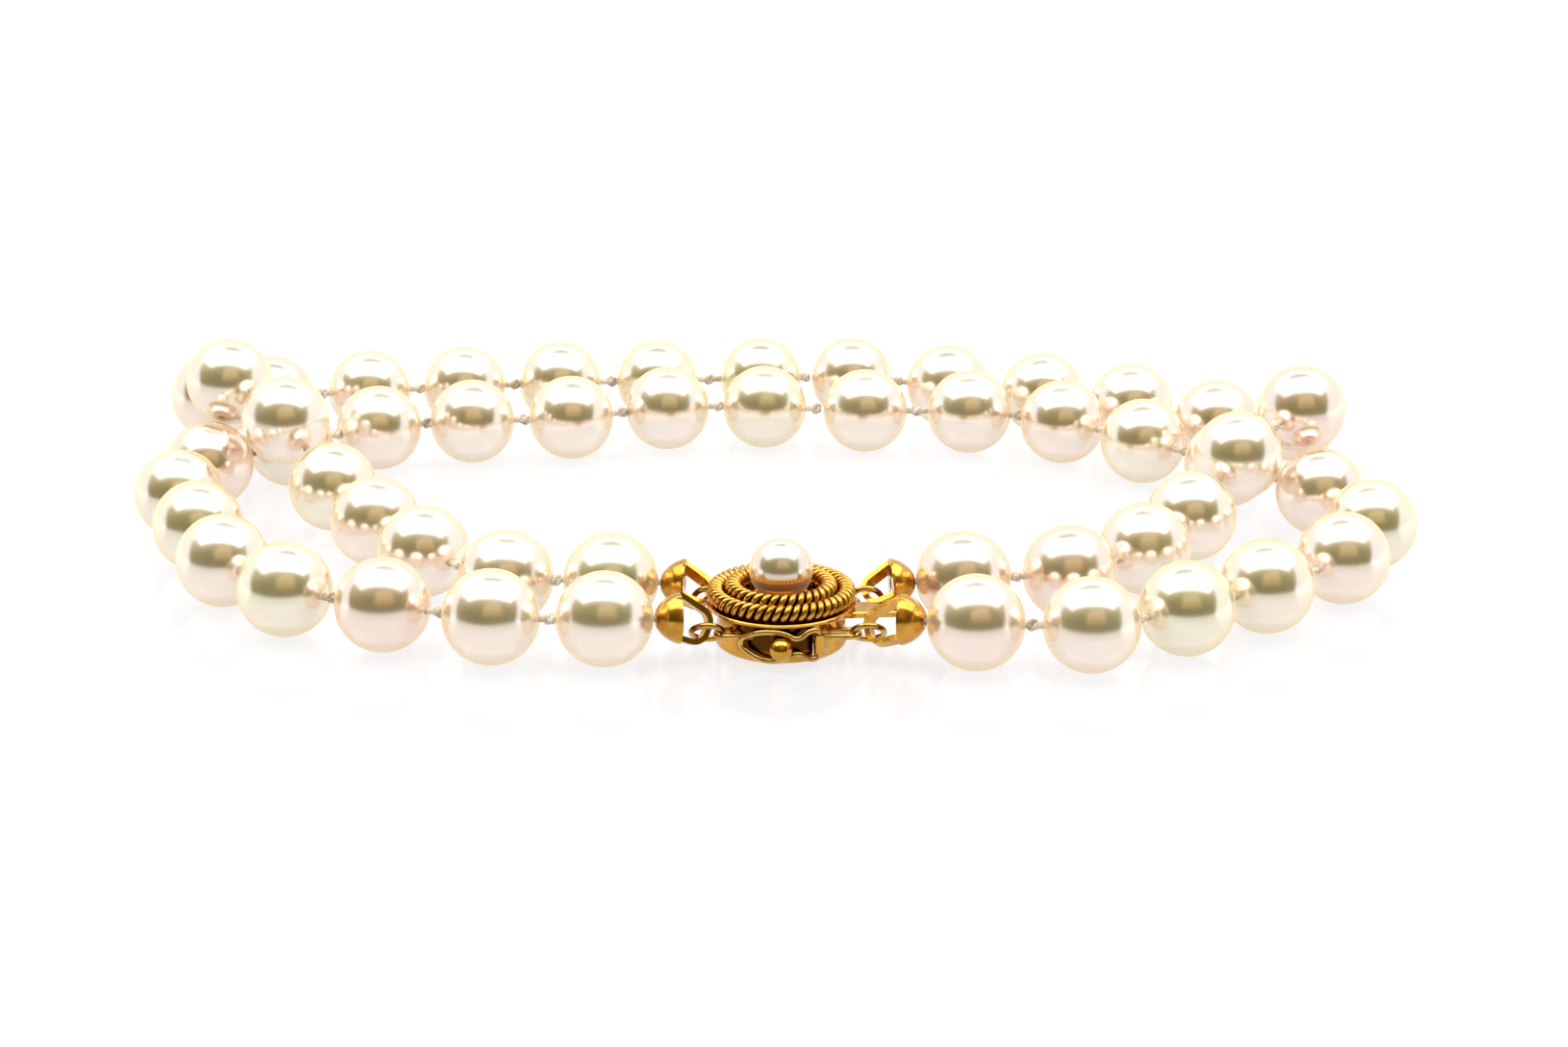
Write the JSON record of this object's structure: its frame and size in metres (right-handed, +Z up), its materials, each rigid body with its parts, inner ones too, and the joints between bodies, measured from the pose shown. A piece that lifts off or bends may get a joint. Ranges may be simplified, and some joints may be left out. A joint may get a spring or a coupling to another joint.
{
  "type": "pearl bracelet",
  "caption": "Strands of knotted cream pearls on silk, meeting in a round gold box clasp with twisted rope borders, a pearl centre and a wire safety catch.",
  "frame": {"origin": "centre of the clasp box's flat base, which lies on the surface with the pearls", "axes": "+Z up out of the clasp's face, +X the way the tongue is drawn out, +Y towards the back of the closed loop"},
  "size_m": [0.0923, 0.0637, 0.0119],
  "materials": {
    "strand_pearl": "cream nacre with a rose overtone and a high gloss",
    "clasp_pearl": "cream nacre with a high gloss",
    "silk_thread": "twisted ivory silk",
    "silk_knot": "knotted ivory silk",
    "clasp_gold": "polished yellow gold",
    "rope_gold": "twisted yellow gold wire, dark between its turns",
    "cap_gold": "polished yellow gold",
    "wire_gold": "drawn yellow gold wire",
    "spring_gold": "rolled hard gold strip",
    "satin_gold": "satin, finely brushed"
  },
  "bodies": {
    "clasp_box": {"clasp_can": "clasp_gold", "clasp_top_plate": "clasp_gold", "clasp_rope_seat": "clasp_gold", "clasp_rope_outer": "rope_gold", "clasp_rope_inner": "rope_gold", "clasp_pearl_cup": "clasp_gold", "clasp_pearl_peg": "clasp_gold", "clasp_pearl": "clasp_pearl", "clasp_catch_stud": "clasp_gold", "eye_front_left": "wire_gold", "eye_back_left": "wire_gold"},
    "tongue": {"tongue_end_block": "clasp_gold", "tongue_folded_leaf": "spring_gold", "tongue_square_plate": "satin_gold", "tongue_catch_hinge_tube": "clasp_gold", "eye_front_right": "wire_gold", "eye_back_right": "wire_gold"},
    "press_leaf": {"tongue_press_leaf": "spring_gold", "tongue_press_tab": "clasp_gold"},
    "catch": {"safety_catch": "wire_gold"},
    "ring_front_left": {"jump_ring_front_left": "wire_gold"},
    "ring_front_right": {"jump_ring_front_right": "wire_gold"},
    "ring_back_left": {"jump_ring_back_left": "wire_gold"},
    "ring_back_right": {"jump_ring_back_right": "wire_gold"},
    "strands_left": {"silk_x_left": "silk_thread", "knots_x_left": "silk_knot", "pearls_x_left_1": "strand_pearl", "pearls_x_left_2": "strand_pearl", "pearls_x_left_3": "strand_pearl", "pearls_x_left_4": "strand_pearl", "end_cap_front_left": "cap_gold", "cap_bail_front_left": "cap_gold", "silk_y_left": "silk_thread", "knots_y_left": "silk_knot", "pearls_y_left_1": "strand_pearl", "pearls_y_left_2": "strand_pearl", "pearls_y_left_3": "strand_pearl", "pearls_y_left_4": "strand_pearl", "end_cap_back_left": "cap_gold", "cap_bail_back_left": "cap_gold"},
    "strands_right": {"silk_x_right": "silk_thread", "knots_x_right": "silk_knot", "pearls_x_right_1": "strand_pearl", "pearls_x_right_2": "strand_pearl", "pearls_x_right_3": "strand_pearl", "pearls_x_right_4": "strand_pearl", "end_cap_front_right": "cap_gold", "cap_bail_front_right": "cap_gold", "silk_y_right": "silk_thread", "knots_y_right": "silk_knot", "pearls_y_right_1": "strand_pearl", "pearls_y_right_2": "strand_pearl", "pearls_y_right_3": "strand_pearl", "pearls_y_right_4": "strand_pearl", "end_cap_back_right": "cap_gold", "cap_bail_back_right": "cap_gold"}
  },
  "joints": [
    {"name": "tongue_slide", "type": "slide", "parent": "clasp_box", "child": "tongue", "axis": [1, 0, 0], "range_m": [0, 0.007]},
    {"name": "catch_swing", "type": "hinge", "parent": "tongue", "child": "catch", "pos_m": [0.0025, -0.00433, 0.0015], "axis": [0, 0, 1], "range_deg": [0, 141]},
    {"name": "leaf_press", "type": "hinge", "parent": "tongue", "child": "press_leaf", "pos_m": [-0.00265, 0, 0.00145], "axis": [0, 1, 0], "range_deg": [0, 3], "stiffness_Nm_per_rad": 0.002},
    {"name": "strands_left_swing", "type": "hinge", "parent": "clasp_box", "child": "strands_left", "pos_m": [-0.005, 0, 0.00325], "axis": [0, 0, 1], "range_deg": [-4.2, 0]},
    {"name": "strands_right_swing", "type": "hinge", "parent": "tongue", "child": "strands_right", "pos_m": [0.0055, 0, 0.00325], "axis": [0, 0, 1], "range_deg": [0, 4.2]},
    {"name": "ring_swing_front_left", "type": "hinge", "parent": "clasp_box", "child": "ring_front_left", "pos_m": [-0.0043, -0.0031, 0.00175], "axis": [0, 1, 0], "range_deg": [-4, 4]},
    {"name": "ring_swing_front_right", "type": "hinge", "parent": "tongue", "child": "ring_front_right", "pos_m": [0.0052, -0.0031, 0.00175], "axis": [0, 1, 0], "range_deg": [-4, 4]},
    {"name": "ring_swing_back_left", "type": "hinge", "parent": "clasp_box", "child": "ring_back_left", "pos_m": [-0.0043, 0.0031, 0.00175], "axis": [0, 1, 0], "range_deg": [-4, 4]},
    {"name": "ring_swing_back_right", "type": "hinge", "parent": "tongue", "child": "ring_back_right", "pos_m": [0.0052, 0.0031, 0.00175], "axis": [0, 1, 0], "range_deg": [-4, 4]}
  ],
  "couplings": [
    {"joint": "catch_swing", "follows": "tongue_slide", "rad_per_m": 349.07},
    {"joint": "strands_left_swing", "follows": "tongue_slide", "rad_per_m": -9.75},
    {"joint": "strands_right_swing", "follows": "tongue_slide", "rad_per_m": 9.75}
  ]
}
